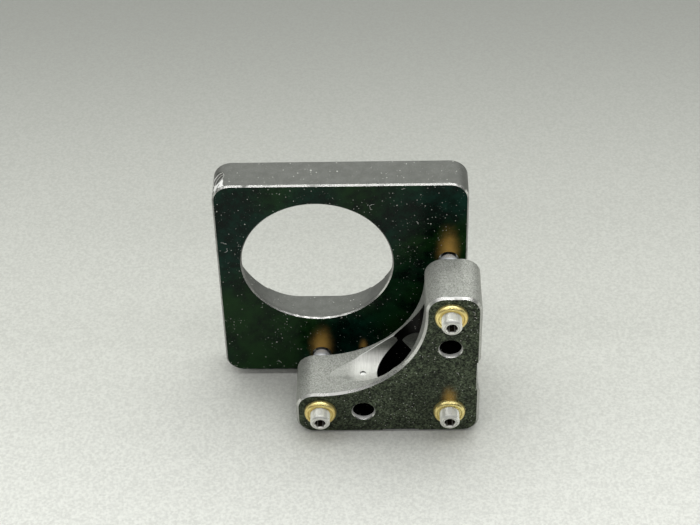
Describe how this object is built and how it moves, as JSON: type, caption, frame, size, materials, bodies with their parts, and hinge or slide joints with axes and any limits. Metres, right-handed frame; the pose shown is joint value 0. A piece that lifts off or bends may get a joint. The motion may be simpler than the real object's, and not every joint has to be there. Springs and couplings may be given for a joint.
{
  "type": "kinematic mirror mount",
  "caption": "Corner-type kinematic mirror mount: square plate with a round mirror pocket, pulled by springs onto ball-tipped fine adjusters in an L-shaped base.",
  "frame": {"origin": "centre of the mirror's seat, where the mirror's axis meets the plane that the mirror's back face rests on", "axes": "+Y along the mirror's axis from the base towards the open side of the pocket, +X towards the column of the top and corner adjusters, +Z towards the top edge of the plate"},
  "size_m": [0.0836, 0.0441, 0.0824],
  "materials": {
    "anodised_body": "bead-blasted black anodise",
    "anodised_plate": "satin black anodise",
    "brass": "machined",
    "polished_steel": "polished stainless",
    "bearing_ball": "mirror polished",
    "steel_pin": "ground",
    "spring_wire": "drawn wire",
    "hardened_seat": "ground",
    "black_steel": "black oxide",
    "nylon": "matt"
  },
  "bodies": {
    "base": {"base_bracket": "anodised_body", "top_bushing": "brass", "left_bushing": "brass", "corner_bushing": "brass", "upper_base_pin": "steel_pin", "lower_base_pin": "steel_pin"},
    "top_ball": {"top_ball": "bearing_ball"},
    "top_screw": {"top_screw": "polished_steel"},
    "left_ball": {"left_ball": "bearing_ball"},
    "left_screw": {"left_screw": "polished_steel"},
    "corner_ball": {"corner_ball": "bearing_ball"},
    "corner_screw": {"corner_screw": "polished_steel"},
    "top_spring": {"top_spring": "spring_wire"},
    "left_spring": {"left_spring": "spring_wire"},
    "plate": {"front_plate": "anodised_plate", "cone_seat": "hardened_seat", "vee_seat": "hardened_seat", "flat_seat": "hardened_seat", "upper_plate_pin": "steel_pin", "lower_plate_pin": "steel_pin"},
    "set_screw_tip": {"set_screw_tip": "nylon"},
    "optic_set_screw": {"optic_set_screw": "black_steel"}
  },
  "joints": [
    {"name": "top_travel", "type": "slide", "parent": "base", "child": "top_ball", "axis": [0, 1, 0], "range_m": [-0.0019, 0.0019]},
    {"name": "top_turn", "type": "hinge", "parent": "top_ball", "child": "top_screw", "pos_m": [0.0421, -0.0035, 0.001], "axis": [0, 1, 0], "range_deg": [-2160, 2160]},
    {"name": "left_travel", "type": "slide", "parent": "base", "child": "left_ball", "axis": [0, 1, 0], "range_m": [-0.0019, 0.0019]},
    {"name": "left_turn", "type": "hinge", "parent": "left_ball", "child": "left_screw", "pos_m": [0.0003, -0.0035, -0.0408], "axis": [0, 1, 0], "range_deg": [-2160, 2160]},
    {"name": "corner_travel", "type": "slide", "parent": "base", "child": "corner_ball", "axis": [0, 1, 0], "range_m": [-0.0019, 0.0019]},
    {"name": "corner_turn", "type": "hinge", "parent": "corner_ball", "child": "corner_screw", "pos_m": [0.0421, -0.0035, -0.0408], "axis": [0, 1, 0], "range_deg": [-2160, 2160]},
    {"name": "plate_pitch", "type": "hinge", "parent": "base", "child": "top_spring", "pos_m": [0.0421, -0.0035, -0.0408], "axis": [-1, 0, 0], "range_deg": [-2.61, 2.61], "deforming": ["top_spring"]},
    {"name": "plate_yaw", "type": "hinge", "parent": "top_spring", "child": "left_spring", "pos_m": [0.0421, -0.0035, -0.0408], "axis": [0, 0, -1], "range_deg": [-2.61, 2.61], "deforming": ["left_spring"]},
    {"name": "plate_push", "type": "hinge", "parent": "left_spring", "child": "plate", "pos_m": [0.0421, -0.0035, 0.001], "axis": [0.7071, 0, 0.7071], "range_deg": [-3.69, 3.69]},
    {"name": "set_screw_travel", "type": "slide", "parent": "plate", "child": "set_screw_tip", "axis": [0.7071, 0, -0.7071], "range_m": [-0.0015, 0.0008]},
    {"name": "set_screw_turn", "type": "hinge", "parent": "set_screw_tip", "child": "optic_set_screw", "pos_m": [-0.02305, 0.0045, 0.02305], "axis": [0.7071, 0, -0.7071], "range_deg": [-682, 364]}
  ],
  "couplings": [
    {"joint": "top_turn", "follows": "top_travel", "rad_per_m": 19790},
    {"joint": "plate_pitch", "follows": "top_travel", "rad_per_m": 23.923},
    {"joint": "left_turn", "follows": "left_travel", "rad_per_m": 19790},
    {"joint": "plate_yaw", "follows": "left_travel", "rad_per_m": 23.923},
    {"joint": "corner_turn", "follows": "corner_travel", "rad_per_m": 19790},
    {"joint": "plate_push", "follows": "corner_travel", "rad_per_m": 33.833},
    {"joint": "set_screw_turn", "follows": "set_screw_travel", "rad_per_m": 7913.3}
  ]
}
